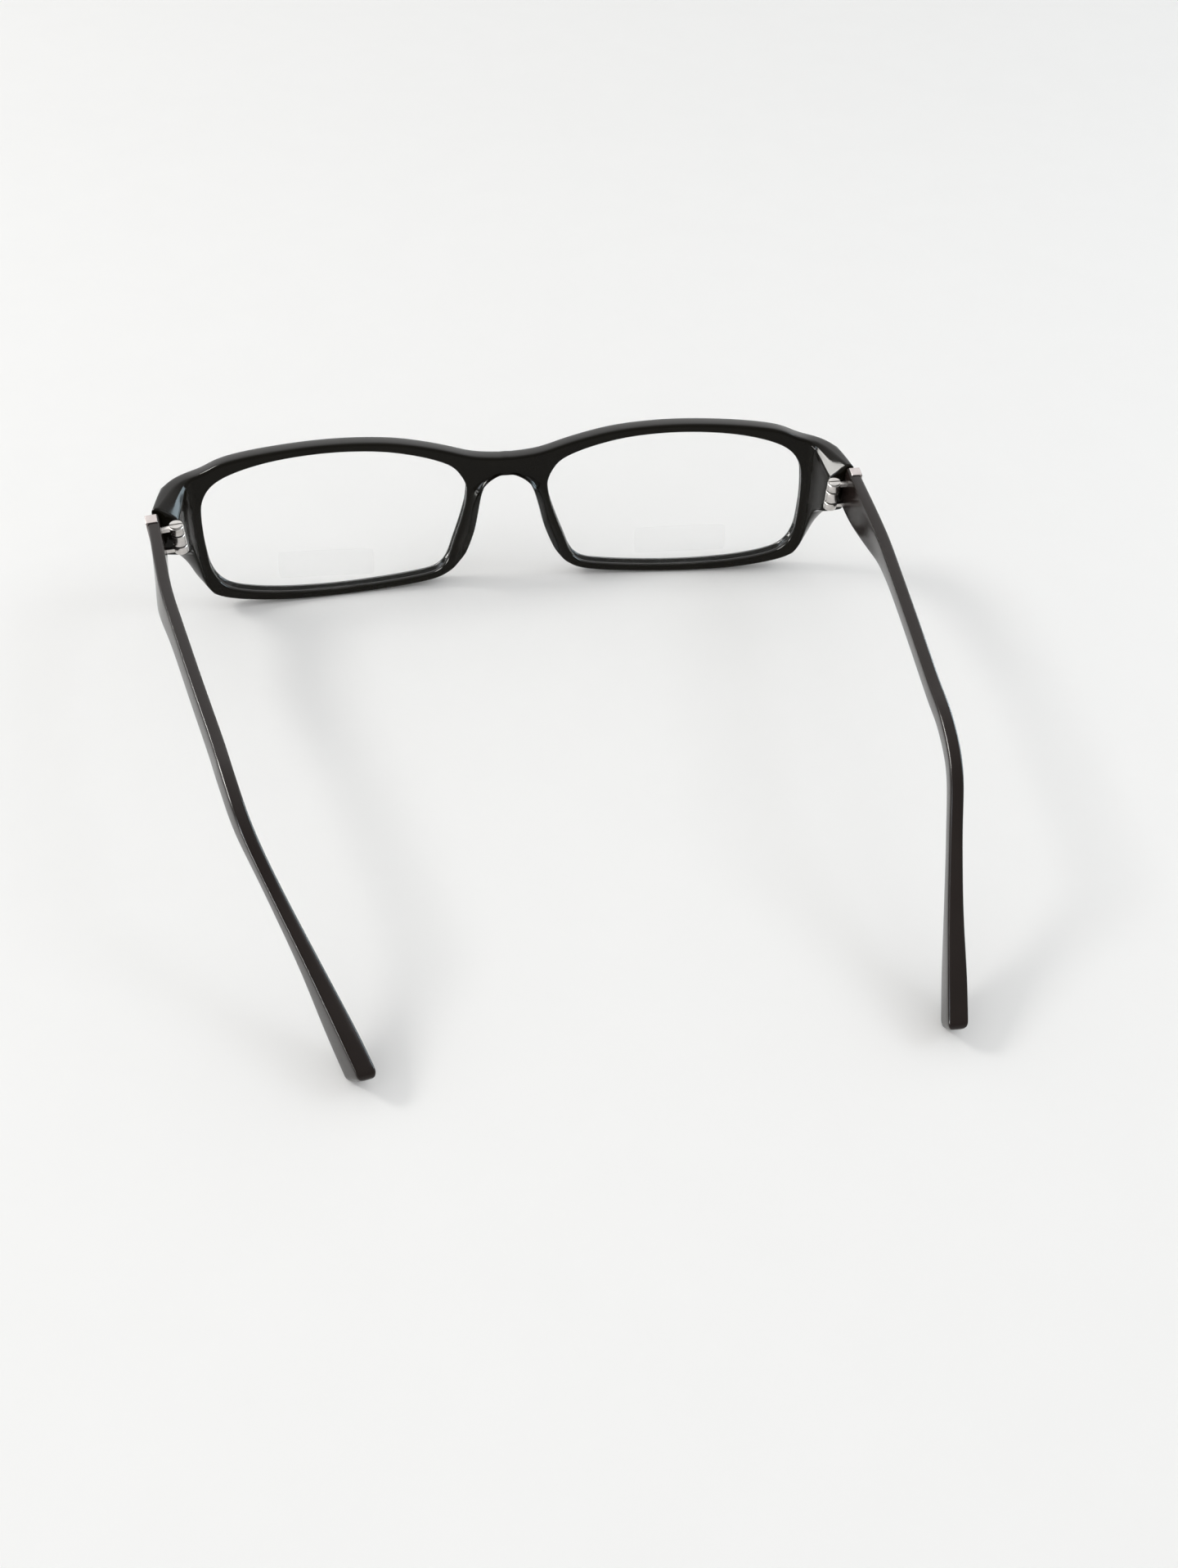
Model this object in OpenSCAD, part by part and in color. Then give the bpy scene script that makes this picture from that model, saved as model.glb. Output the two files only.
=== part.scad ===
// Horn-rimmed eyeglasses with clear display lenses, standing on rim bottoms and temple tips.
// +X is the wearer's left, +Y runs back towards the temple tips, +Z is up, millimetres.

/* [Front] */
// width of each lens opening
lens_width = 53; // [46:0.5:60]
// height of each lens opening
lens_height = 31.1; // [26:0.1:38]
// gap between the two openings over the nose
bridge_width = 16.6; // [14:0.1:21]
// front to back thickness of the rims
rim_depth = 3.3; // [2.8:0.1:4.2]
// width of the rim above the lens
rim_top = 1.8; // [1.4:0.1:3.2]
// width of the rim below the lens
rim_low = 1.6; // [1.4:0.1:3.2]
// width of the rim on the temple side
rim_side = 3.6; // [2.6:0.1:5]
// width of the rim on the nose side
rim_nose = 2.9; // [2.2:0.1:3.6]
// height of the bridge bar over the nose arch
bridge_bar = 4.2; // [3.2:0.1:6]
// drop of the bridge top below the brow
bridge_drop = 5.55; // [4:0.05:7]
// how far the moulded nose pads stand behind the rims
pad_rise = 2.4; // [1.2:0.1:3.4]
// edge rounding of the front
edge_round = 0.55; // [0.3:0.05:0.8]
// plan radius that the front is wrapped to
wrap_radius = 520; // [300:10:900]
// lean of the front, rim bottoms towards the wearer, in degrees
front_tilt = 6.6; // [2:0.1:10]
// depth of the flat worn on the bottom of each rim
rest_flat = 0.12; // [0.06:0.01:0.2]

/* [End pieces] */
// outer plan radius of the swept back corners
corner_radius = 7.4; // [6.5:0.1:10]
// plan angle that the end pieces turn to, in degrees
corner_turn = 84; // [78:0.5:88]
// sideways thickness of each end piece at the hinge
end_depth = 4.6; // [4.2:0.1:5.6]
// distance from the rim backs to the end faces
end_reach = 10.9; // [9.5:0.1:14]
// height of each end face
end_height = 9.5; // [8:0.1:10.5]
// drop of the end piece top below the brow
brow_drop = 5.3; // [4:0.1:8]
// fall of the slanted inner top of each end piece
slant_fall = 2.4; // [1:0.1:3]

/* [Lenses] */
// thickness of the lenses
lens_thickness = 1.6; // [1.2:0.1:2.2]
// forward bulge of each lens at its middle
lens_bulge = 1.3; // [0.6:0.1:2.4]
// depth of the lens groove
groove_depth = 0.7; // [0.5:0.05:1]
// distance from the rim front to the groove middle
groove_seat = 1.55; // [1.2:0.05:2]
// width of the left blank film label
label_width_left = 19.5; // [10:0.5:22]
// width of the right blank film label
label_width_right = 19.5; // [10:0.5:22]
// height of the film labels
label_height = 5.8; // [4:0.1:12]
// distance from the bottom of each lens up to its label
label_lift_gap = 1.8; // [1.6:0.1:8]
// turn of the left label on its lens, temple side up, in degrees
label_turn_left = 4; // [0:0.5:5]
// turn of the right label on its lens, temple side up, in degrees
label_turn_right = 1; // [0:0.5:5]
// thickness of the film labels
label_film = 0.1; // [0.08:0.01:0.2]
// gap between each label and its lens
label_gap = 0.03; // [0.02:0.01:0.1]

/* [Hinges] */
// distance from the outside of the end piece in to the hinge axis
hinge_inset = 4.2; // [4:0.05:4.6]
// distance from the end face back to the hinge axis
hinge_back = 2.1; // [2:0.05:2.6]
// diameter of the knuckles
knuckle_diameter = 2.6; // [2.2:0.05:2.9]
// height of the whole stack of knuckles
knuckle_stack = 5.8; // [5:0.1:7]
// height of the top and the bottom knuckle, each
knuckle_outer = 1.5; // [1.1:0.1:1.8]
// height of the two arms from these knuckles to the temple
leaf_arm = 0.8; // [0.6:0.05:1]
// drop of the top knuckle below the top of the end piece
stack_drop = 2.1; // [1.8:0.1:2.6]
// open space between neighbouring knuckles
knuckle_gap = 0.3; // [0.3:0.01:0.4]
// diameter of the screw shank
screw_diameter = 1.2; // [0.9:0.05:1.5]
// diameter of the screw head
screw_head = 2.4; // [1.8:0.05:2.5]
// height of the screw head
screw_head_height = 0.45; // [0.4:0.05:0.8]
// width of the driver slot in the screw head
screw_slot = 0.34; // [0.25:0.01:0.5]
// running clearance round the screw, on the radius
pin_clearance = 0.03; // [0.02:0.005:0.06]
// thickness of the hinge leaves
leaf_thickness = 0.9; // [0.7:0.05:1.1]
// length of the front leaf in the end piece
leaf_length = 6.4; // [4.5:0.1:7.5]
// length of the temple leaf in the temple
tang_length = 6; // [4:0.5:7]
// clearance round leaves and bands in their pockets
pocket_clearance = 0.05; // [0.02:0.01:0.1]

/* [Temples] */
// length of the temple from its front end to the bend
shaft_length = 74; // [66:0.5:96]
// length of the ear piece below the bend
tip_length = 45.4; // [38:0.5:52]
// sideways thickness of the temples
temple_thickness = 2.3; // [2.2:0.05:3]
// sideways thickness of the ear pieces at their ends
tip_thickness = 3.3; // [2.2:0.05:3.8]
// height of the temple at its front end
temple_front_height = 8.4; // [7:0.1:9]
// greatest height of the temple, just behind the hinge
temple_swell_height = 8.9; // [7:0.1:10]
// height of the slim part of the temple
temple_slim_height = 4.6; // [3.6:0.1:6]
// height of the ear piece at its end
tip_end_height = 7.6; // [5:0.1:8.5]
// drop of the temple top below the end piece top
temple_step = 0.2; // [0:0.05:0.8]
// rise of the temple top from the hinge to the bend
shaft_rise = 0.2; // [0:0.1:4]
// inward run of the left temple from the hinge to the bend
shaft_inward_left = 4.9; // [2:0.1:9]
// inward run of the right temple from the hinge to the bend
shaft_inward_right = 3.7; // [2:0.1:9]
// inward run of the left ear piece from the bend to its end, bent by hand
tip_inward_left = 10.5; // [2:0.1:11]
// inward run of the right ear piece from the bend to its end
tip_inward_right = 6.4; // [2:0.1:11]
// lean of the temple faces, tops inwards, in degrees
temple_lean = 11; // [0:0.5:16]
// lean of the left ear piece's faces at its end, twisted by hand, in degrees
tip_lean_left = 14; // [0:0.5:20]
// lean of the right ear piece's faces at its end, in degrees
tip_lean_right = 11.5; // [0:0.5:20]
// edge rounding of the temples
temple_round = 0.5; // [0.3:0.05:0.8]
// gap between each end face and its temple
butt_gap = 0.3; // [0.3:0.01:0.5]
// how far the temple stands outside the end piece
temple_proud = 0.8; // [0.3:0.05:1.2]
// length of the metal band at the front of the temple
band_length = 2.4; // [1.6:0.1:3.2]
// thickness of the metal band
band_thickness = 0.55; // [0.45:0.05:0.7]
// how far the band stands proud of the temple
band_proud = 0.22; // [0.1:0.01:0.3]
// how far the left temple is folded in at rest, in degrees
left_rest_fold = 9; // [0:0.5:20]

/* [Hidden] */
$fn = 48;
rim_steps = 3;
groove_half = 0.75;
lens_gap = 0.06;
// reach of the block that levels the temples on the table
table_reach = 300;

// shape of one lens opening, nose side first: share of the width and of the half height
eye_shape = [[0.019, 0.527], [0.043, 0.64], [0.085, 0.733], [0.174, 0.846], [0.315, 0.955],
  [0.504, 1], [0.702, 0.961], [0.853, 0.852], [0.938, 0.711], [0.981, 0.508], [0.994, 0.289],
  [1, 0.019], [0.998, -0.257], [0.991, -0.489], [0.962, -0.707], [0.896, -0.849],
  [0.749, -0.955], [0.56, -1], [0.372, -0.984], [0.211, -0.932], [0.134, -0.868],
  [0.092, -0.72], [0.064, -0.463], [0.034, -0.18], [0.009, 0.103], [0.001, 0.283],
  [0.001, 0.367], [0.008, 0.45]];
half_bridge = bridge_width / 2;
half_height = lens_height / 2;
inner_ctl = [for (e = eye_shape) [half_bridge + e[0] * lens_width, e[1] * half_height]];

// the bridge bar and the end piece, measured from the middle height of the lenses
brow_top = half_height + rim_top;
bar_top = brow_top - bridge_drop;
arch_top = bar_top - bridge_bar;
end_top = brow_top - brow_drop;
end_low = end_top - end_height;
eye_edge = half_bridge + lens_width;
bend_start = eye_edge - 0.3;

// plan curve of the front face: wide arc, tight corner, straight end piece
bend_head = bend_start / wrap_radius * 180 / PI;
bend_turn = corner_turn - bend_head;
bend_arc = corner_radius * bend_turn * PI / 180;
bend_point = [wrap_radius * sin(bend_head), wrap_radius * (1 - cos(bend_head)) - rim_depth];
bend_centre = bend_point + corner_radius * [-sin(bend_head), cos(bend_head)];
bend_end = bend_centre + corner_radius * [sin(corner_turn), -cos(corner_turn)];
end_plane_deep = (end_reach + end_top * sin(front_tilt)) / cos(front_tilt);
arm_straight = (end_plane_deep + 0.9 - bend_end[1]) / sin(corner_turn);
arm_end = bend_start + bend_arc + arm_straight;
arm_outer_x = bend_end[0] + (end_plane_deep - bend_end[1]) / tan(corner_turn);

function heading(s) = s < bend_start ? s / wrap_radius * 180 / PI
  : min(corner_turn, bend_head + (s - bend_start) / corner_radius * 180 / PI);
function face_point(s) = s < bend_start
  ? [wrap_radius * sin(heading(s)), wrap_radius * (1 - cos(heading(s))) - rim_depth]
  : s < bend_start + bend_arc
    ? bend_centre + corner_radius * [sin(heading(s)), -cos(heading(s))]
    : bend_end + (s - bend_start - bend_arc) * [cos(corner_turn), sin(corner_turn)];
// turns a flat front position, width s, depth d behind the face and height w, into the wrapped shape
function wrapped(s, d, w) = let (f = face_point(s), h = heading(s))
  [f[0] - d * sin(h), f[1] + d * cos(h), w];

// outer outline of the rim, the nose arch and the end piece, one point for each shape point
outer_ctl = [
  [0, bar_top],
  [0.12 * bridge_width, bar_top],
  [0.42 * bridge_width, bar_top + 0.108 * bridge_drop],
  inner_ctl[3] + [-0.076 * lens_width, 0.72 * rim_top],
  inner_ctl[4] + [-0.047 * lens_width, 0.92 * rim_top],
  inner_ctl[5] + [-0.019 * lens_width, rim_top],
  inner_ctl[6] + [0.01 * lens_width, 1.1 * rim_top],
  inner_ctl[7] + [0.028 * lens_width, 1.42 * rim_top],
  inner_ctl[8] + [0.56 * rim_side, 1.58 * rim_top],
  [eye_edge + 1.1 * rim_side, end_top + 0.1 * end_height],
  [arm_end, end_top],
  [arm_end, end_low],
  [eye_edge + 2.28 * rim_side, end_low - 0.42 * end_height],
  inner_ctl[13] + [1.44 * rim_side, 0.56 * rim_side],
  inner_ctl[14] + [1.24 * rim_side, 0.08 * rim_side],
  inner_ctl[15] + [1.06 * rim_side, -0.7 * rim_low],
  inner_ctl[16] + [0.028 * lens_width, -1.05 * rim_low],
  inner_ctl[17] + [0.004 * lens_width, -rim_low],
  inner_ctl[18] + [-0.028 * lens_width, -0.92 * rim_low],
  inner_ctl[19] + [-0.74 * rim_nose, -0.82 * rim_low],
  inner_ctl[20] + [-0.86 * rim_nose, -0.4 * rim_low],
  inner_ctl[21] + [-1.02 * rim_nose, 0.17 * rim_nose],
  inner_ctl[22] + [-1.08 * rim_nose, 0.07 * rim_nose],
  inner_ctl[23] + [-1.05 * rim_nose, 0],
  inner_ctl[24] + [-0.95 * rim_nose, 0.07 * rim_nose],
  [0.283 * bridge_width, arch_top - 0.45 * bridge_bar],
  [0.114 * bridge_width, arch_top],
  [0, arch_top]];
sharp = [0, 10, 11, 27];
end_first = 10 * rim_steps;
end_last = 11 * rim_steps;
middle_first = 27 * rim_steps;

function wrap_at(a, k) = a[(k + len(a)) % len(a)];
function is_sharp(k) = len(search(k, sharp)) > 0;
function curve(a, b, c, d, t) = 0.5 * (2 * b + (c - a) * t + (2 * a - 5 * b + 4 * c - d) * t * t
  + (3 * b - a - 3 * c + d) * t * t * t);
function smooth_loop(p) = [for (k = [0:len(p) - 1], j = [0:rim_steps - 1])
  curve(wrap_at(p, k - 1), p[k], wrap_at(p, k + 1), wrap_at(p, k + 2), j / rim_steps)];
function cornered_loop(p) = [for (k = [0:len(p) - 1], j = [0:rim_steps - 1])
  let (b = p[k], c = wrap_at(p, k + 1), n = (k + 1) % len(p),
    a = is_sharp(k) ? 2 * b - c : wrap_at(p, k - 1),
    d = is_sharp(n) ? 2 * c - b : wrap_at(p, k + 2))
  curve(a, b, c, d, j / rim_steps)];
function unit(v) = v / max(norm(v), 0.000001);
function outward(p, i) = let (t = unit(wrap_at(p, i + 1) - wrap_at(p, i - 1))) [-t[1], t[0]];
// outward direction of the outer outline, square to the middle plane and to the end face
function rim_out(i) = i == 0 || i == end_first ? [0, 1] : i == middle_first || i == end_last ? [0, -1]
  : i > middle_first || (i > end_first && i < end_last) ? [0, 0] : outward(outer_loop, i);
function ease(t) = let (u = min(1, max(0, t))) u * u * (3 - 2 * u);

inner_loop = smooth_loop(inner_ctl);
outer_loop = cornered_loop(outer_ctl);
rim_count = len(inner_loop);

// depth of the front at a place along its width
function depth_at(s) = rim_depth
  + (end_depth - rim_depth) * ease((s - bend_start) / (bend_arc * 0.9));
// share of the nose pad flare at a place on the inner side of the rim
function pad_share(p) = p[0] > half_bridge + 0.12 * lens_width ? 0
  : ease((0.5 * half_height - p[1]) / (0.45 * half_height))
    * ease((p[1] + 0.97 * half_height) / (0.5 * half_height));
// share of the slanted inner top face of the end piece, growing evenly to the end face
slant_start = bend_start + 0.1 * bend_arc;
function slant_share(s, w) = min(1, max(0, (s - slant_start) / (arm_end - slant_start)))
  * ease((w - end_low - 0.5 * end_height) / (0.2 * end_height));
spread = [0.2, 0.42, 0.64, 0.84];

// one closed section of the rim at station i, as width, depth and height
function rim_section(i) =
  let (a = inner_loop[i], b = outer_loop[i], na = outward(inner_loop, i),
    nb = rim_out(i), da = depth_at(a[0]), db = depth_at(b[0]),
    r = edge_round, sl = slant_share(b[0], b[1]), pad = pad_rise * pad_share(a),
    back_in = r + slant_fall * sl, back_cut = r + 0.65 * end_depth * sl, mid = 0.28 + 0.2 * sl,
    ai = a + 0.45 * r * na, bf = b - r * nb, bb = b - back_in * nb - [0.15 * pad * min(1, b[0]), 0])
  concat(
    [[a[0], 0.45 * r, a[1]],
     [a[0], groove_seat - groove_half, a[1]],
     [a[0] + groove_depth * na[0], groove_seat, a[1] + groove_depth * na[1]],
     [a[0], groove_seat + groove_half, a[1]],
     [a[0], da - 0.45 * r, a[1]],
     [ai[0], da, ai[1]]],
    [for (t = spread) let (p = ai + (bb - ai) * t) [p[0], depth_at(p[0]) + pad * t * t, p[1]]],
    [[bb[0], db + pad, bb[1]],
     [b[0] - mid * back_in * nb[0], db - mid * back_cut + 0.95 * pad, b[1] - mid * back_in * nb[1]],
     [b[0], db - back_cut + 0.7 * pad, b[1]],
     [b[0], r, b[1]],
     [b[0] - 0.28 * r * nb[0], 0.28 * r, b[1] - 0.28 * r * nb[1]],
     [bf[0], 0, bf[1]]],
    [for (t = spread) let (p = bf + (ai - bf) * t) [p[0], 0, p[1]]],
    [[ai[0], 0, ai[1]]]);
ring_count = len(rim_section(0));

// places in the section list where the outer edge starts and ends
wall_from = 10;
wall_to = 15;

// height of the lens middle above the table
lens_mid = (brow_low_mm() * cos(front_tilt)) + front_low_depth() * sin(front_tilt) - rest_flat;
function brow_low_mm() = half_height + rim_low;
function front_low_depth() = rim_depth - edge_round
  - wrap_radius * (1 - cos((half_bridge + 0.56 * lens_width) / wrap_radius * 180 / PI));

// hinge and temple places in the upright frame
temple_top = lens_mid + end_top * cos(front_tilt) + end_plane_deep * sin(front_tilt) - temple_step;
hinge_x = arm_outer_x - hinge_inset;
hinge_y = end_reach + hinge_back;
stack_top = temple_top - stack_drop;
stack_low = stack_top - knuckle_stack;
knuckle_mid = knuckle_stack - 2 * knuckle_outer - 2 * knuckle_gap;
mid_low = stack_low + knuckle_outer + knuckle_gap;
temple_out = arm_outer_x + temple_proud;
temple_in = temple_out - temple_thickness;
temple_front = end_reach + butt_gap;
plate_x = hinge_x + knuckle_diameter / 2 - leaf_thickness;
tang_x = temple_in + 0.3 * temple_thickness;
arm_half = 0.5 * leaf_thickness;
tang_inset = 0.2;

// shaft and ear piece of the temple: place, height and sideways centre at each row
bend_y = temple_front + shaft_length;
bend_z = temple_top + shaft_rise - temple_slim_height / 2;
tip_z = 0.3 * tip_end_height;
tip_slope = asin((bend_z - tip_z) / tip_length);
temple_mid = temple_out - temple_thickness / 2;
function shaft_row(f, h, g, drift) = let (y = temple_front + f * shaft_length)
  [y, temple_top + f * shaft_rise - h / 2, h, temple_mid - g * drift, temple_thickness];
function tip_row(f, h, g, drift, run) = [bend_y + f * tip_length * cos(tip_slope),
  bend_z - f * tip_length * sin(tip_slope), h, temple_mid - drift - g * run,
  temple_thickness + (tip_thickness - temple_thickness) * ease((f - 0.35) / 0.6)];
function temple_rows(drift, run) = [
  shaft_row(0, temple_front_height, 0, drift),
  shaft_row(0.09, temple_swell_height, 0, drift),
  shaft_row(0.2, 0.12 * temple_slim_height + 0.86 * temple_swell_height, 0.01, drift),
  shaft_row(0.31, 0.54 * temple_slim_height + 0.44 * temple_swell_height, 0.055, drift),
  shaft_row(0.44, 1.06 * temple_slim_height, 0.23, drift),
  shaft_row(0.63, temple_slim_height, 0.5, drift),
  shaft_row(0.82, temple_slim_height, 0.79, drift),
  shaft_row(0.93, temple_slim_height, 0.93, drift),
  tip_row(0.09, temple_slim_height, 0.07, drift, run),
  tip_row(0.32, 0.87 * temple_slim_height, 0.3, drift, run),
  tip_row(0.58, 0.6 * temple_slim_height + 0.26 * tip_end_height, 0.59, drift, run),
  tip_row(0.82, 0.12 * temple_slim_height + 0.84 * tip_end_height, 0.85, drift, run),
  tip_row(0.97, tip_end_height, 1, drift, run)];
function row_at(rows, k) = k < 0 ? 2 * rows[0] - rows[1]
  : k >= len(rows) ? 2 * rows[len(rows) - 1] - rows[len(rows) - 2] : rows[k];
temple_steps = 4;
function temple_line(rows) = concat(
  [for (k = [0:len(rows) - 2], j = [0:temple_steps - 1])
    curve(row_at(rows, k - 1), rows[k], rows[k + 1], row_at(rows, k + 2), j / temple_steps)],
  [rows[len(rows) - 1]]);
// rounded end: travel past the last row, share of the height and of the thickness
end_cap = [[0, 1, 1], [0.55, 0.975, 0.96], [1, 0.9, 0.87], [1.3, 0.78, 0.7], [1.44, 0.6, 0.46]];
function temple_stations(line, lean) = let (last = line[len(line) - 1]) concat(
  [for (i = [0:len(line) - 2]) let (l = line[i],
      t = unit([line[i + 1][0] - line[max(0, i - 1)][0], line[i + 1][1] - line[max(0, i - 1)][1]]))
    [l[3], l[0], l[1], i == 0 ? [1, 0] : t, l[2], l[4],
      temple_lean * ease((l[0] - temple_front) / (0.3 * shaft_length))
        + (lean - temple_lean) * ease((l[0] - bend_y) / (0.6 * tip_length))]],
  [for (c = end_cap) let (t = [cos(tip_slope), -sin(tip_slope)])
    [last[3], last[0] + c[0] * t[0], last[1] + c[0] * t[1], t, last[2] * c[1],
      last[4] * c[2], lean]]);
function temple_section(q) =
  let (h = q[4] / 2, t = q[5] / 2, r = min(temple_round, 0.8 * t), k = 0.29 * r, u = [-q[3][1], q[3][0]],
    cl = cos(q[6]), sl = sin(q[6]))
  [for (p = [[-t, h - r], [-t + k, h - k], [-t + r, h], [t - r, h], [t - k, h - k], [t, h - r],
      [t, -h + r], [t - k, -h + k], [t - r, -h], [-t + r, -h], [-t + k, -h + k], [-t, -h + r]])
    let (side = p[0] * cl - (p[1] - h) * sl, rise = h + (p[1] - h) * cl + p[0] * sl)
    [q[0] + side, q[1] + rise * u[0], q[2] + rise * u[1]]];

// middle of the whole object from front to back, so that the origin sits under its middle
tip_end_y = max([for (q = temple_stations(temple_line(temple_rows(shaft_inward_right, tip_inward_right)),
  tip_lean_right), p = temple_section(q)) p[1]]);
front_most = min([for (p = half_points()) p[1]]);
centre_shift = (tip_end_y + front_most) / 2;

module placed() translate([0, -centre_shift, 0]) children();
module tilted() translate([0, 0, lens_mid]) rotate([front_tilt, 0, 0]) children();
module left_fold() translate([hinge_x, hinge_y, 0]) rotate([0, 0, left_rest_fold])
  translate([-hinge_x, -hinge_y, 0]) children();
module flipped() mirror([1, 0, 0]) children();
module box(x0, x1, y0, y1, z0, z1) translate([x0, y0, z0]) cube([x1 - x0, y1 - y0, z1 - z0]);
module post(d, z0, z1) translate([hinge_x, hinge_y, z0]) cylinder(d = d, h = z1 - z0);

// leans a point of the front back, levels the rest flats and squares off the end faces
function leaned(p) = [p[0], min(end_reach, p[1] * cos(front_tilt) - p[2] * sin(front_tilt)),
  max(0, lens_mid + p[1] * sin(front_tilt) + p[2] * cos(front_tilt))];
function half_points() = [for (i = [0:rim_count - 1]) each
  [for (q = rim_section(i)) leaned(wrapped(q[0], q[1], q[2]))]];
// points on the middle plane belong to both halves
function on_middle(i, j) = j >= wall_from && j <= wall_to && (i == 0 || i >= middle_first);
function front_id(side, i, j) = (i % rim_count) * ring_count + j % ring_count
  + (on_middle(i % rim_count, j % ring_count) ? 0 : side * rim_count * ring_count);
function half_faces(side) = [for (i = [0:rim_count - 1], j = [0:ring_count - 1])
  if (i < middle_first || j < wall_from || j >= wall_to)
    let (a = front_id(side, i, j), b = front_id(side, i + 1, j), c = front_id(side, i + 1, j + 1),
      d = front_id(side, i, j + 1))
    each side == 0 ? [[a, b, c], [a, c, d]] : [[a, c, b], [a, d, c]]];

module front_shell() {
  pts = half_points();
  polyhedron(points = concat(pts, [for (p = pts) [-p[0], p[1], p[2]]]),
    faces = concat(half_faces(0), half_faces(1)), convexity = 10);
}

// front leaf, from its end inside the end piece to the middle knuckle, or its pocket with a clearance
module front_leaf_plate(c) {
  box(plate_x - c, plate_x + leaf_thickness + c, end_reach - leaf_length - c, hinge_y,
    mid_low - c, mid_low + knuckle_mid + c);
}

module frame_front() color([0.05, 0.05, 0.05]) placed() difference() {
  front_shell();
  front_leaf_plate(pocket_clearance);
  flipped() front_leaf_plate(pocket_clearance);
}

function lens_dome(s, w) = let (a = (s - half_bridge - lens_width / 2) / (lens_width / 2 + 0.6),
    b = w / (half_height + 0.6))
  lens_bulge * max(0, 1 - a * a) * max(0, 1 - b * b);
lens_mid_point = [half_bridge + 0.51 * lens_width, 0];
lens_front = groove_seat - lens_thickness / 2;
lens_back = groove_seat + lens_thickness / 2;
lens_shares = [0.86, 0.68, 0.46, 0.23];
lens_every = 2;
function lens_rings(i) = let (a = inner_loop[i], n = outward(inner_loop, i), e = a - lens_gap * n,
    p = a + (groove_depth - 0.1) * n, q = groove_half - 0.12)
  concat(
    [for (k = [len(lens_shares) - 1:-1:0]) let (m = lens_mid_point + (e - lens_mid_point) * lens_shares[k])
      wrapped(m[0], lens_front - lens_dome(m[0], m[1]), m[1])],
    [wrapped(e[0], lens_front - lens_dome(e[0], e[1]), e[1]),
     wrapped(e[0], groove_seat - q, e[1]),
     wrapped(p[0], groove_seat, p[1]),
     wrapped(e[0], groove_seat + q, e[1]),
     wrapped(e[0], lens_back - lens_dome(e[0], e[1]), e[1])],
    [for (k = [0:len(lens_shares) - 1]) let (m = lens_mid_point + (e - lens_mid_point) * lens_shares[k])
      wrapped(m[0], lens_back - lens_dome(m[0], m[1]), m[1])]);

module lens_body() {
  n = rim_count / lens_every;
  rings = [for (i = [0:n - 1]) lens_rings(i * lens_every)];
  m = len(rings[0]);
  tops = lens_dome(lens_mid_point[0], 0);
  pts = concat([for (r = rings) each r],
    [wrapped(lens_mid_point[0], lens_front - tops, 0), wrapped(lens_mid_point[0], lens_back - tops, 0)]);
  sides = [for (i = [0:n - 1], j = [0:m - 2]) let (a = i * m + j, b = ((i + 1) % n) * m + j)
    each [[a, b + 1, b], [a, a + 1, b + 1]]];
  fans = [for (i = [0:n - 1]) let (a = i * m, b = ((i + 1) % n) * m)
    each [[n * m, a, b], [n * m + 1, b + m - 1, a + m - 1]]];
  tilted() polyhedron(points = pts, faces = concat(sides, fans), convexity = 6);
}

module lens_left() color([0.9, 0.95, 0.95, 0.3]) placed() lens_body();
module lens_right() color([0.9, 0.95, 0.95, 0.3]) placed() flipped() lens_body();

// a thin film on the front of a lens: its middle along the width, its width and its turn
module film(middle, width, turn) {
  nx = 8;
  nw = 4;
  pts = [for (k = [0:1], i = [0:nx], j = [0:nw]) let (a = width * (i / nx - 0.5), b = label_height * (j / nw - 0.5),
      s = middle + a * cos(turn) - b * sin(turn),
      w = -half_height + label_lift_gap + label_height / 2 + a * sin(turn) + b * cos(turn))
    wrapped(s, lens_front - lens_dome(s, w) - label_gap - k * label_film, w)];
  o = (nx + 1) * (nw + 1);
  function id(i, j) = i * (nw + 1) + j;
  skin = [for (i = [0:nx - 1], j = [0:nw - 1]) each [
    [id(i, j), id(i + 1, j + 1), id(i, j + 1)], [id(i, j), id(i + 1, j), id(i + 1, j + 1)],
    [o + id(i, j), o + id(i, j + 1), o + id(i + 1, j + 1)], [o + id(i, j), o + id(i + 1, j + 1), o + id(i + 1, j)]]];
  ends = [for (i = [0:nx - 1]) each [
    [id(i, 0), o + id(i + 1, 0), id(i + 1, 0)], [id(i, 0), o + id(i, 0), o + id(i + 1, 0)],
    [id(i, nw), id(i + 1, nw), o + id(i + 1, nw)], [id(i, nw), o + id(i + 1, nw), o + id(i, nw)]]];
  edges = [for (j = [0:nw - 1]) each [
    [id(0, j), o + id(0, j + 1), o + id(0, j)], [id(0, j), id(0, j + 1), o + id(0, j + 1)],
    [id(nx, j), o + id(nx, j), o + id(nx, j + 1)], [id(nx, j), o + id(nx, j + 1), id(nx, j + 1)]]];
  tilted() polyhedron(points = pts, faces = concat(skin, ends, edges), convexity = 4);
}
module lens_label_left() color([0.95, 0.95, 0.95, 0.5]) placed()
  film(half_bridge + 0.56 * lens_width, label_width_left, label_turn_left);
module lens_label_right() color([0.95, 0.95, 0.95, 0.5]) placed() flipped()
  film(half_bridge + 0.54 * lens_width, label_width_right, label_turn_right);

bore = screw_diameter + 2 * pin_clearance;
module front_leaf() difference() {
  union() {
    front_leaf_plate(0);
    post(knuckle_diameter, mid_low, mid_low + knuckle_mid);
  }
  post(bore, stack_low - 1, stack_top + 1);
}
module front_hinge_left() color([0.75, 0.75, 0.78]) placed() front_leaf();
module front_hinge_right() color([0.75, 0.75, 0.78]) placed() flipped() front_leaf();

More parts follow.
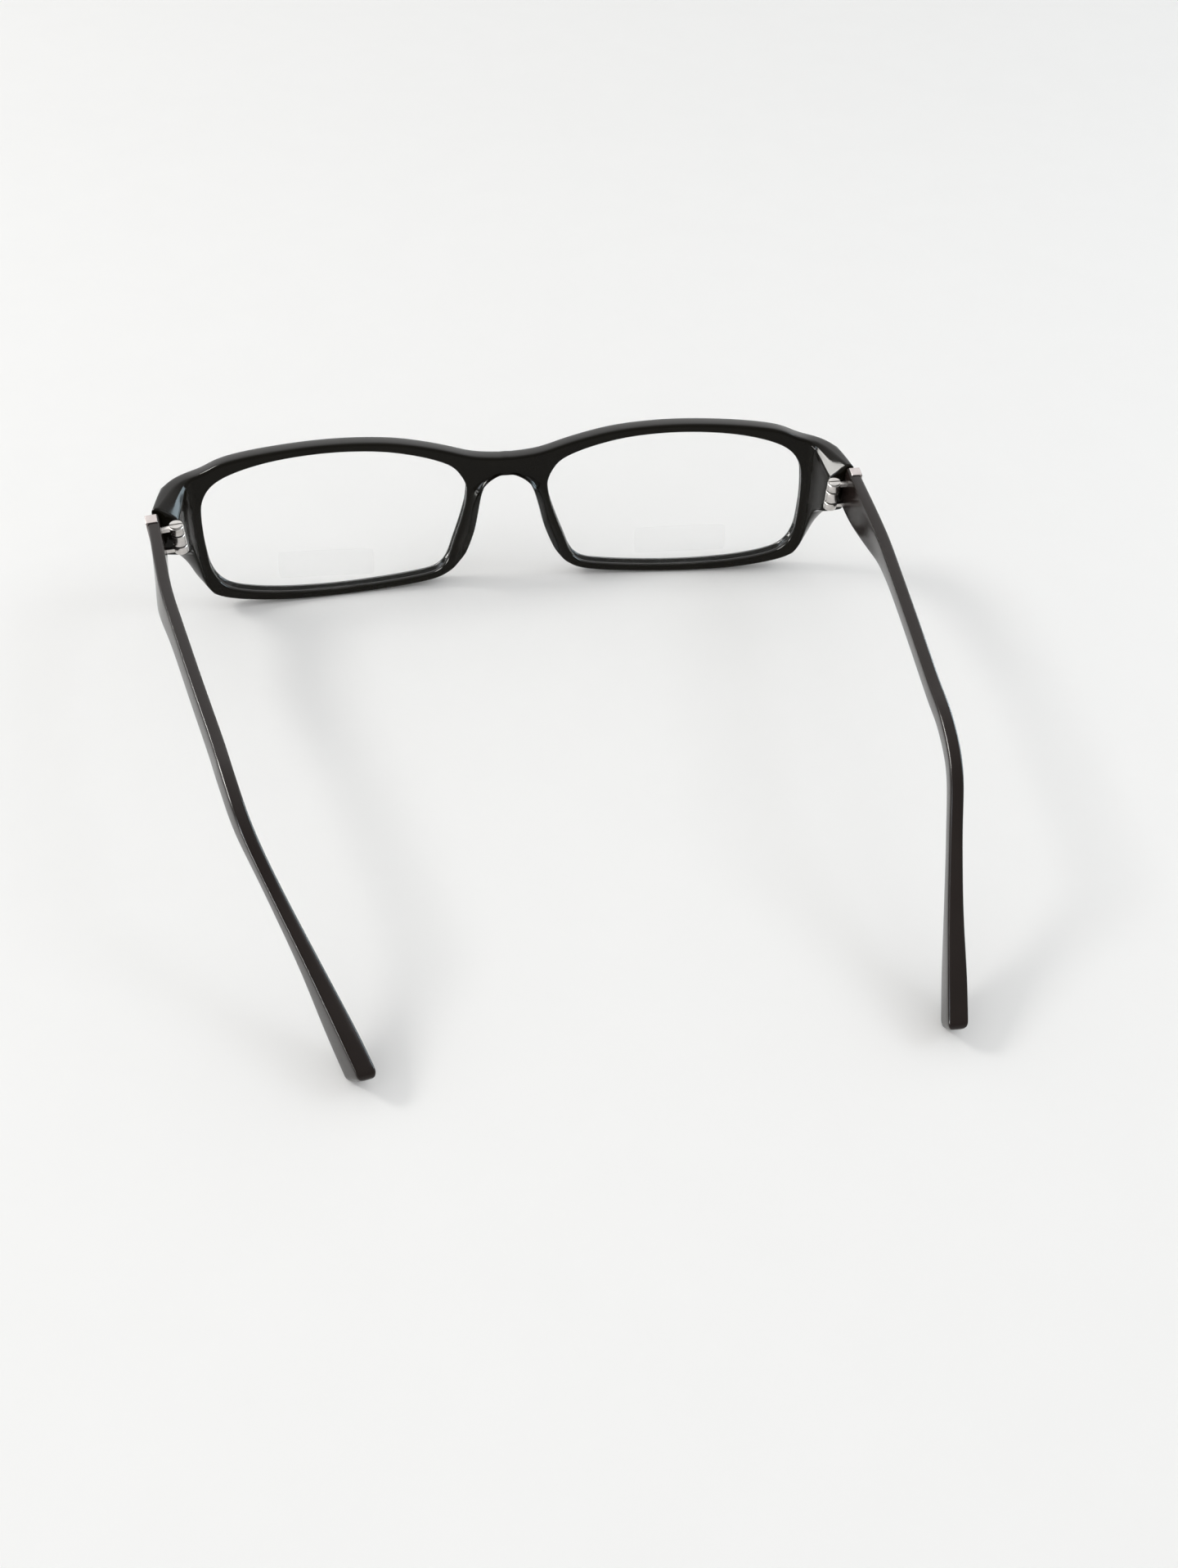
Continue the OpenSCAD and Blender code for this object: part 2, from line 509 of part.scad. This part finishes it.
// temple leaf: an upright plate inside the temple and an arm to each outer knuckle, drawn with a clearance
module tang(c) {
  box(tang_x - c, tang_x + leaf_thickness + c, hinge_y - arm_half - c, hinge_y + tang_length + c,
    stack_low + tang_inset - c, stack_top + c);
  for (z = [stack_low + tang_inset, stack_top - leaf_arm])
    box(hinge_x, tang_x + leaf_thickness + c, hinge_y - arm_half - c, hinge_y + arm_half + c, z - c, z + leaf_arm + c);
}
module temple_leaf() difference() {
  union() {
    post(knuckle_diameter, stack_low, stack_low + knuckle_outer);
    post(knuckle_diameter, stack_top - knuckle_outer, stack_top);
    tang(0);
  }
  post(bore, stack_low - 1, stack_top + 1);
}
module temple_hinge_left() color([0.7, 0.7, 0.73]) placed() left_fold() temple_leaf();
module temple_hinge_right() color([0.7, 0.7, 0.73]) placed() flipped() temple_leaf();

module screw() difference() {
  union() {
    post(screw_diameter, stack_low + 0.15, stack_top + 0.1);
    post(screw_head, stack_top + 0.02, stack_top + screw_head_height);
  }
  box(hinge_x - screw_head, hinge_x + screw_head, hinge_y - screw_slot / 2, hinge_y + screw_slot / 2,
    stack_top + screw_head_height / 2, stack_top + screw_head_height + 1);
}
module hinge_screw_left() color([0.8, 0.8, 0.82]) placed() left_fold() screw();
module hinge_screw_right() color([0.8, 0.8, 0.82]) placed() flipped() screw();

band_low = temple_top - temple_front_height;
band_y0 = temple_front + 0.25;
module band_outer() box(temple_in + 0.35, temple_out + band_proud, band_y0, band_y0 + band_length,
  band_low - band_proud, temple_top + band_proud);
module band_inner(c) {
  sink = band_thickness - band_proud;
  box(temple_in - 1, temple_out - sink + c, band_y0 - 1, band_y0 + band_length + 1,
    band_low + sink - c, temple_top - sink + c);
}
module band_part() difference() {
  band_outer();
  band_inner(0);
}
// room cut in the temple for the band, a little larger than the band
module band_room() difference() {
  box(temple_in + 0.35 - pocket_clearance, temple_out + 3, band_y0 - pocket_clearance,
    band_y0 + band_length + pocket_clearance, band_low - 3, temple_top + 3);
  band_inner(-pocket_clearance);
}
module temple_band_left() color([0.8, 0.8, 0.82]) placed() left_fold() band_part();
module temple_band_right() color([0.8, 0.8, 0.82]) placed() flipped() band_part();

module temple_body(drift, run, lean) {
  m = 12;
  stations = temple_stations(temple_line(temple_rows(drift, run)), lean);
  n = len(stations);
  pts = [for (q = stations) each temple_section(q)];
  sides = [for (i = [0:n - 2], j = [0:m - 1]) let (a = i * m + j, d = i * m + (j + 1) % m)
    each [[a, a + m, d + m], [a, d + m, d]]];
  caps = [[for (j = [0:m - 1]) j], [for (j = [m - 1:-1:0]) (n - 1) * m + j]];
  difference() {
    intersection() {
      polyhedron(points = pts, faces = concat(sides, caps), convexity = 6);
      box(-table_reach, table_reach, -table_reach, table_reach, 0, table_reach);
    }
    tang(pocket_clearance);
    band_room();
  }
}
module temple_left() color([0.05, 0.05, 0.05]) placed() left_fold()
  temple_body(shaft_inward_left, tip_inward_left, tip_lean_left);
module temple_right() color([0.05, 0.05, 0.05]) placed() flipped()
  temple_body(shaft_inward_right, tip_inward_right, tip_lean_right);

frame_front();
lens_left();
lens_right();
lens_label_left();
lens_label_right();
front_hinge_left();
front_hinge_right();
temple_hinge_left();
temple_hinge_right();
hinge_screw_left();
hinge_screw_right();
temple_left();
temple_right();
temple_band_left();
temple_band_right();
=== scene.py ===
import math

import bmesh
import bpy
from mathutils import Matrix, Vector


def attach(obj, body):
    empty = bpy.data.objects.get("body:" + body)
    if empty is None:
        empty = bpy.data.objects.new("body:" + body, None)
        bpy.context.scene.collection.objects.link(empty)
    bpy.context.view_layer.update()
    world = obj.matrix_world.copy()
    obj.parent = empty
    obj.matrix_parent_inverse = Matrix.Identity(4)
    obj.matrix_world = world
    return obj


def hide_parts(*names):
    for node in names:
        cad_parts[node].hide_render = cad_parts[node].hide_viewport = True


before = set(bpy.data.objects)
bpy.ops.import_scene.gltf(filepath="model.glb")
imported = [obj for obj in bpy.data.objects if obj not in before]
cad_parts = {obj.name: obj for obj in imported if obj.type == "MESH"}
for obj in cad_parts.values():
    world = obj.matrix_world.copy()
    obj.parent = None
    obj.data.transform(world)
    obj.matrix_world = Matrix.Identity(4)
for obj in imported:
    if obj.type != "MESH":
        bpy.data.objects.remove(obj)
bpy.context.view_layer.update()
mm = 0.001


# Shader maths: a socket that takes the usual operators
class Value:
    def __init__(self, tree, socket):
        self.tree = tree
        self.socket = socket

    def math(self, operation, first, second):
        node = self.tree.nodes.new("ShaderNodeMath")
        node.operation = operation
        for slot, item in zip(node.inputs, (first, second)):
            if isinstance(item, Value):
                self.tree.links.new(item.socket, slot)
            else:
                slot.default_value = item
        return Value(self.tree, node.outputs[0])

    def __add__(self, other):
        return self.math("ADD", self, other)

    def __radd__(self, other):
        return self.math("ADD", other, self)

    def __sub__(self, other):
        return self.math("SUBTRACT", self, other)

    def __rsub__(self, other):
        return self.math("SUBTRACT", other, self)

    def __mul__(self, other):
        return self.math("MULTIPLY", self, other)

    def __rmul__(self, other):
        return self.math("MULTIPLY", other, self)

    def __truediv__(self, other):
        return self.math("DIVIDE", self, other)

    def atLeast(self, other):
        return self.math("MAXIMUM", self, other)

    def atMost(self, other):
        return self.math("MINIMUM", self, other)


# The node tree of a material or of the world
class Finish:
    def __init__(self, owner, shaderName="Principled BSDF"):
        owner.use_nodes = True
        self.owner = owner
        self.tree = owner.node_tree
        self.shader = self.tree.nodes[shaderName]

    # kind of node, its settings, what goes into its sockets, which output comes back
    def add(self, kind, settings=None, inputs=None, out=0):
        node = self.tree.nodes.new(kind)
        for key, item in (settings or {}).items():
            setattr(node, key, item)
        for key, item in (inputs or {}).items():
            self.feed(node.inputs[key], item)
        return Value(self.tree, node.outputs[out])

    def feed(self, slot, item):
        if isinstance(item, Value):
            self.tree.links.new(item.socket, slot)
        elif slot.type == "RGBA":
            slot.default_value = (*item, 1.0)
        else:
            slot.default_value = item

    def set(self, **sockets):
        for key, item in sockets.items():
            self.feed(self.shader.inputs[key.replace("_", " ")], item)

    def coords(self):
        return self.add("ShaderNodeTexCoord", out="Object")

    def noise(self, where, scale, detail, rough, stretch=None):
        if stretch:
            where = self.add("ShaderNodeMapping", inputs={"Vector": where, "Scale": stretch})
        return self.add("ShaderNodeTexNoise", inputs={
            "Vector": where, "Scale": scale, "Detail": detail, "Roughness": rough}, out="Fac")

    def blendColours(self, share, first, second):
        return self.add("ShaderNodeMix", {"data_type": "RGBA"}, {0: share, 6: first, 7: second}, 2)

    def bump(self, height, strength, depth):
        return self.add("ShaderNodeBump", inputs={
            "Height": height, "Strength": strength, "Distance": depth})


# Black moulded plastic of the front and the temples
blackPlastic = {
    "front": {"deep": (0.0022, 0.0018, 0.0013), "worn": (0.0125, 0.0105, 0.0056),
              "roughness": 0.08, "smudge": 0.07, "specular": 0.12, "rippleSize": 1.6 * mm},
    "temple": {"deep": (0.0110, 0.0075, 0.0064), "worn": (0.0290, 0.0220, 0.0190),
               "roughness": 0.12, "smudge": 0.09, "specular": 0.14, "rippleSize": 1.8 * mm},
}
plasticMarks = {
    "cloud": {"scale": 90, "detail": 4, "rough": 0.6},
    "smudge": {"scale": 260, "detail": 3, "rough": 0.55, "stretch": (1, 0.5, 1)},
    "ripple": {"detail": 1, "rough": 0.4},
    "grain": {"scale": 1 / (0.22 * mm), "detail": 2, "rough": 0.6},
    "dust": {"scale": 2400, "detail": 1, "rough": 0.5},
    "dustEdge": 0.76,
    "dustGain": 3,
    "dustRoughness": 0.3,
    "cloudShare": 0.55,
    "rippleShare": 0.8,
    "grainShare": 0.12,
    "bumpStrength": 0.16,
    "bumpDepth": 0.12 * mm,
}


def plasticFinish(name, look):
    marks = plasticMarks
    f = Finish(bpy.data.materials.new(name))
    where = f.coords()
    cloud = f.noise(where, **marks["cloud"])
    smudge = f.noise(where, **marks["smudge"])
    ripple = f.noise(where, 1 / look["rippleSize"], **marks["ripple"])
    grain = f.noise(where, **marks["grain"])
    dust = (f.noise(where, **marks["dust"]) - marks["dustEdge"]).atLeast(0) * marks["dustGain"]
    mottle = (cloud * marks["cloudShare"] + dust).atMost(1)
    relief = ripple * marks["rippleShare"] + grain * marks["grainShare"]
    f.set(Base_Color=f.blendColours(mottle, look["deep"], look["worn"]),
          Roughness=look["roughness"] + smudge * look["smudge"] + dust * marks["dustRoughness"],
          Specular_IOR_Level=look["specular"],
          Normal=f.bump(relief, marks["bumpStrength"], marks["bumpDepth"]))
    return f.owner


# Bright metal of the hinges, screws and bands
brightMetal = {
    "hinge": {"pale": (0.66, 0.63, 0.61), "dull": (0.4, 0.38, 0.36), "roughness": 0.16,
              "stretch": (1, 1, 12)},
    "screw": {"pale": (0.38, 0.365, 0.35), "dull": (0.24, 0.23, 0.22), "roughness": 0.2,
              "stretch": (6, 6, 1)},
    "band": {"pale": (0.33, 0.3, 0.29), "dull": (0.24, 0.215, 0.21), "roughness": 0.24,
             "stretch": (1, 1, 4)},
}
metalMarks = {
    "brush": {"scale": 1800, "detail": 3, "rough": 0.6},
    "stain": {"scale": 700, "detail": 3, "rough": 0.6},
    "stainGain": 1.6,
    "stainEdge": 0.4,
    "brushRoughness": 0.12,
    "stainRoughness": 0.06,
    "bumpStrength": 0.2,
    "bumpDepth": 0.03 * mm,
}


def metalFinish(name, look):
    marks = metalMarks
    f = Finish(bpy.data.materials.new(name))
    where = f.coords()
    brush = f.noise(where, **marks["brush"], stretch=look["stretch"])
    stain = f.noise(where, **marks["stain"])
    dulled = (stain * marks["stainGain"] - marks["stainEdge"]).atLeast(0).atMost(1)
    f.set(Base_Color=f.blendColours(dulled, look["pale"], look["dull"]),
          Metallic=1.0,
          Roughness=look["roughness"] + brush * marks["brushRoughness"] + stain * marks["stainRoughness"],
          Normal=f.bump(brush, marks["bumpStrength"], marks["bumpDepth"]))
    return f.owner


# Clear lenses and film labels: body is what shows straight on, sheen what shows at the edges
clearParts = {
    "lens": {"tint": (0.78, 0.81, 0.81), "body": 0.006, "sheen": 0.2, "roughness": 0.03},
    "film": {"tint": (0.95, 0.96, 0.96), "body": 0.035, "sheen": 0.12, "roughness": 0.3},
}
clearMarks = {
    "haze": {"scale": 120, "detail": 3, "rough": 0.6},
    "veil": {"scale": 30, "detail": 2, "rough": 0.5},
    "hazeRoughness": 0.03,
    "veilLeast": 0.6,
    "veilGain": 0.8,
    "sheenIndex": 1.5,
    "bumpStrength": 0.04,
    "bumpDepth": 0.2 * mm,
}


def clearFinish(name, look):
    marks = clearMarks
    f = Finish(bpy.data.materials.new(name))
    where = f.coords()
    facing = f.add("ShaderNodeFresnel", inputs={"IOR": marks["sheenIndex"]})
    haze = f.noise(where, **marks["haze"])
    veil = f.noise(where, **marks["veil"])
    body = look["body"] * (marks["veilLeast"] + veil * marks["veilGain"])
    f.set(Base_Color=look["tint"],
          Roughness=look["roughness"] + haze * marks["hazeRoughness"],
          Alpha=(body + facing * look["sheen"]).atMost(1),
          Normal=f.bump(veil, marks["bumpStrength"], marks["bumpDepth"]))
    return f.owner


frontPlastic = plasticFinish("frontPlastic", blackPlastic["front"])
templePlastic = plasticFinish("templePlastic", blackPlastic["temple"])
hingeMetal = metalFinish("hingeMetal", brightMetal["hinge"])
screwMetal = metalFinish("screwMetal", brightMetal["screw"])
bandMetal = metalFinish("bandMetal", brightMetal["band"])
lensClear = clearFinish("lensClear", clearParts["lens"])
labelFilm = clearFinish("labelFilm", clearParts["film"])
print("finishes ready")


# How each piece's loose triangles become one clean mesh, with angles in degrees
cleaning = {"mergeGap": 0.002 * mm, "sliver": 0.001 * mm, "joinBend": 40, "joinSkew": 80, "flatBend": 1}


def mergedCopy(node, name):
    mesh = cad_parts[node].data.copy()
    mesh.name = name
    mesh.materials.clear()
    bm = bmesh.new()
    bm.from_mesh(mesh)
    bmesh.ops.remove_doubles(bm, verts=bm.verts, dist=cleaning["mergeGap"])
    bmesh.ops.dissolve_degenerate(bm, edges=bm.edges, dist=cleaning["sliver"])
    return mesh, bm


def joinTriangles(bm):
    bmesh.ops.join_triangles(
        bm, faces=bm.faces, angle_face_threshold=math.radians(cleaning["joinBend"]),
        angle_shape_threshold=math.radians(cleaning["joinSkew"]), cmp_seam=False, cmp_sharp=False,
        cmp_uvs=False, cmp_vcols=False, cmp_materials=False)


def edgesOver(bm, angle):
    return [edge for edge in bm.edges
            if len(edge.link_faces) == 2 and edge.calc_face_angle(0) > math.radians(angle)]


def roundEdges(bm, edges, width, segments):
    bmesh.ops.bevel(bm, geom=edges, offset=width, offset_type="OFFSET", segments=segments, profile=0.5,
                    affect="EDGES", material=-1, clamp_overlap=True)


def finishPiece(mesh, bm, name, node, body, material):
    bm.to_mesh(mesh)
    bm.free()
    mesh.materials.append(material)
    for polygon in mesh.polygons:
        polygon.use_smooth = True
    piece = bpy.data.objects.new(name, mesh)
    bpy.context.scene.collection.objects.link(piece)
    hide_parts(node)
    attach(piece, body)
    return piece


# edges that stay crisp, and softer ridges between two faces that aren't slivers
def markCreases(bm, shape):
    crease = bm.edges.layers.float.new("crease_edge")
    for edge in bm.edges:
        if len(edge.link_faces) != 2:
            continue
        turn = math.degrees(edge.calc_face_angle(0))
        width = min(face.calc_area() for face in edge.link_faces) / edge.calc_length()
        if turn > shape["creaseAngle"]:
            edge[crease] = shape["crease"]
            edge.smooth = not shape["split"]
        elif "ridge" in shape and turn > shape["ridgeAngle"] and width > shape["ridgeWidth"]:
            edge[crease] = shape["ridge"]


# Plastic, lenses and films: creased edges under a subdivided surface
def smoothPiece(node, name, body, material, shape):
    mesh, bm = mergedCopy(node, name)
    joinTriangles(bm)
    if "corner" in shape:
        short = [edge for edge in edgesOver(bm, shape["cornerAngle"])
                 if edge.calc_length() < shape["thickness"]]
        roundEdges(bm, short, shape["corner"], shape["cornerSegments"])
    markCreases(bm, shape)
    piece = finishPiece(mesh, bm, name, node, body, material)
    rounding = piece.modifiers.new("rounding", "SUBSURF")
    rounding.levels = rounding.render_levels = shape["levels"]
    rounding.use_limit_surface = False


# Metal parts: flat faces with narrow rounded edges
def bevelledPiece(node, name, body, material, shape):
    mesh, bm = mergedCopy(node, name)
    bmesh.ops.dissolve_limit(bm, angle_limit=math.radians(cleaning["flatBend"]),
                             use_dissolve_boundaries=False, verts=bm.verts, edges=bm.edges, delimit=set())
    roundEdges(bm, edgesOver(bm, shape["angle"]), shape["edge"], shape["segments"])
    piece = finishPiece(mesh, bm, name, node, body, material)
    facets = piece.modifiers.new("facets", "WEIGHTED_NORMAL")
    facets.keep_sharp = True


front = {"creaseAngle": 62, "crease": 0.9, "ridgeAngle": 16, "ridgeWidth": 0.55 * mm, "ridge": 0.8,
         "levels": 2, "split": False}
temple = {"creaseAngle": 62, "crease": 0.9, "ridgeAngle": 20, "ridgeWidth": 1.2 * mm, "ridge": 0.6,
          "levels": 2, "split": False}
lens = {"creaseAngle": 40, "crease": 1.0, "levels": 1, "split": True}
label = {"creaseAngle": 62, "crease": 1.0, "levels": 1, "split": True, "thickness": 0.15 * mm,
         "corner": 0.9 * mm, "cornerAngle": 60, "cornerSegments": 4}
hingeLeaf = {"angle": 35, "edge": 0.07 * mm, "segments": 2}
screw = {"angle": 35, "edge": 0.06 * mm, "segments": 2}
band = {"angle": 35, "edge": 0.12 * mm, "segments": 3}

smoothPiece("frame_front", "front_moulding", "front", frontPlastic, front)
print("front ready")
for side in ("left", "right"):
    templeBody = side + "_temple"
    smoothPiece("lens_" + side, "clear_lens_" + side, "front", lensClear, lens)
    smoothPiece("lens_label_" + side, "blank_label_" + side, "front", labelFilm, label)
    bevelledPiece("front_hinge_" + side, "front_leaf_" + side, "front",
                  hingeMetal, hingeLeaf)
    bevelledPiece("hinge_screw_" + side, "slotted_screw_" + side, templeBody,
                  screwMetal, screw)
    smoothPiece("temple_" + side, "temple_arm_" + side, templeBody,
                templePlastic, temple)
    bevelledPiece("temple_hinge_" + side, "temple_leaf_" + side, templeBody,
                  hingeMetal, hingeLeaf)
    bevelledPiece("temple_band_" + side, "bright_band_" + side, templeBody,
                  bandMetal, band)
    print(side, "side ready")


# Stage: a pale floor with a little painted shade towards the front, and a plain sky
stage = {
    "floorColour": (0.935, 0.935, 0.925),
    # how dark, where and how fast the painted shade darkens the floor towards the front
    "paintedShadeDim": 0.93,
    "paintedShadeStart": 0.02,
    "paintedShadeLength": 0.45,
    "paintedShadeMost": 0.7,
    "floorSize": 6.0,
    "floorLift": -0.02 * mm,
    "floorRoughness": 0.9,
    "floorSpecular": 0.1,
    "paper": {"scale": 60, "detail": 3, "rough": 0.6},
    "paperShare": 0.3,
    "skyFill": 0.775,
    "skyDim": 0.55,
    "skyGlow": 1.6,
    "glowReach": 0.6,
}


def addFloor():
    bm = bmesh.new()
    bmesh.ops.create_grid(bm, x_segments=2, y_segments=2, size=stage["floorSize"] / 2)
    bmesh.ops.translate(bm, verts=bm.verts, vec=(0, 0, stage["floorLift"]))
    mesh = bpy.data.meshes.new("floor")
    bm.to_mesh(mesh)
    bm.free()
    floor = bpy.data.objects.new("floor", mesh)
    bpy.context.scene.collection.objects.link(floor)
    f = Finish(bpy.data.materials.new("palePaper"))
    where = f.coords()
    paper = f.noise(where, **stage["paper"]) * stage["paperShare"]
    back = f.add("ShaderNodeSeparateXYZ", inputs={"Vector": where}, out=1)
    # painted shade: the floor colour darkens towards the front, as if less light fell there, mixed with
    # the paper's random grain
    paintedShade = ((stage["paintedShadeStart"] - back) / stage["paintedShadeLength"]).atLeast(0).atMost(stage["paintedShadeMost"])
    pale = stage["floorColour"]
    f.set(Base_Color=f.blendColours(paper + paintedShade, pale, tuple(c * stage["paintedShadeDim"] for c in pale)),
          Roughness=stage["floorRoughness"],
          Specular_IOR_Level=stage["floorSpecular"])
    mesh.materials.append(f.owner)


# white for the camera, plain for the light, and paler ahead than behind for what gloss mirrors
def addSky():
    world = bpy.data.worlds.new("studio")
    bpy.context.scene.world = world
    f = Finish(world, "Background")
    direction = f.add("ShaderNodeTexCoord", out="Generated")
    toBack = f.add("ShaderNodeSeparateXYZ", inputs={"Vector": direction}, out=1)
    ahead = (stage["glowReach"] - toBack * stage["glowReach"]).atLeast(0).atMost(1)
    mirrored = stage["skyDim"] + ahead * ahead * stage["skyGlow"]
    glossy = f.add("ShaderNodeLightPath", out="Is Glossy Ray")
    camera = f.add("ShaderNodeLightPath", out="Is Camera Ray")
    fill = stage["skyFill"]
    f.set(Color=(1.0, 1.0, 1.0),
          Strength=fill + glossy * (mirrored - fill) + camera * (1 - fill))


# the boxes light the scene, and the panels only give the gloss something to mirror
lamps = {
    "leftBox": {"toward": (0.66, -0.24, 0.66), "away": 1.1, "size": (0.25, 0.25), "power": 2.6,
                "colour": (1, 0.985, 0.96), "lights": True},
    "rightBox": {"toward": (-0.71, 0.08, 0.68), "away": 1.1, "size": (0.34, 0.34), "power": 1.1,
                 "colour": (0.93, 0.96, 1), "lights": True},
    "leftPanel": {"toward": (0.735, -0.314, 0.6), "away": 1.0, "size": (0.55, 0.42), "power": 36,
                  "colour": (1, 0.99, 0.95), "lights": False},
    "leftUpper": {"toward": (0.8, 0.307, 0.515), "away": 1.0, "size": (0.3, 0.42), "power": 5,
                  "colour": (0.82, 0.91, 1), "lights": False},
    "leftLow": {"toward": (0.947, 0.308, 0.087), "away": 1.0, "size": (0.45, 0.16), "power": 16,
                "colour": (1, 1, 0.98), "lights": False},
    "rightPanel": {"toward": (-0.904, -0.294, 0.309), "away": 1.0, "size": (0.75, 0.5), "power": 23,
                   "colour": (0.72, 0.9, 1), "lights": False},
}


# matrix of a lamp or camera whose local Z points back, with its X level before the roll
def placed(place, back, roll=0.0):
    across = Vector((0, 0, 1)).cross(back).normalized()
    up = back.cross(across)
    rolledAcross = across * math.cos(roll) + up * math.sin(roll)
    rolledUp = up * math.cos(roll) - across * math.sin(roll)
    turned = Matrix((rolledAcross, rolledUp, back)).transposed().to_4x4()
    return Matrix.Translation(place) @ turned


def addLamp(name, look):
    data = bpy.data.lights.new(name, "AREA")
    data.shape = "RECTANGLE"
    data.size, data.size_y = look["size"]
    data.energy = look["power"]
    data.color = look["colour"]
    lamp = bpy.data.objects.new(name, data)
    lamp.visible_diffuse = look["lights"]
    lamp.visible_camera = False
    bpy.context.scene.collection.objects.link(lamp)
    toward = Vector(look["toward"]).normalized()
    lamp.matrix_world = placed(toward * look["away"], toward)


view = {
    "place": (23.88 * mm, 170.71 * mm, 192.54 * mm),
    "azimuth": 169.29,
    "elevation": 48.23,
    "roll": 2.84,
    "focal": 31.904,
    "sensor": 36,
    "nearest": 10 * mm,
}


def addCamera():
    turn, rise, roll = (math.radians(view[key]) for key in ("azimuth", "elevation", "roll"))
    back = Vector((math.sin(turn) * math.cos(rise), -math.cos(turn) * math.cos(rise), math.sin(rise)))
    data = bpy.data.cameras.new("camera")
    data.lens = view["focal"]
    data.sensor_width = view["sensor"]
    data.clip_start = view["nearest"]
    camera = bpy.data.objects.new("camera", data)
    bpy.context.scene.collection.objects.link(camera)
    camera.matrix_world = placed(Vector(view["place"]), back, roll)
    bpy.context.scene.camera = camera


addFloor()
addSky()
for name, look in lamps.items():
    addLamp(name, look)
addCamera()
bpy.context.scene.view_settings.view_transform = "Standard"
print("stage ready")
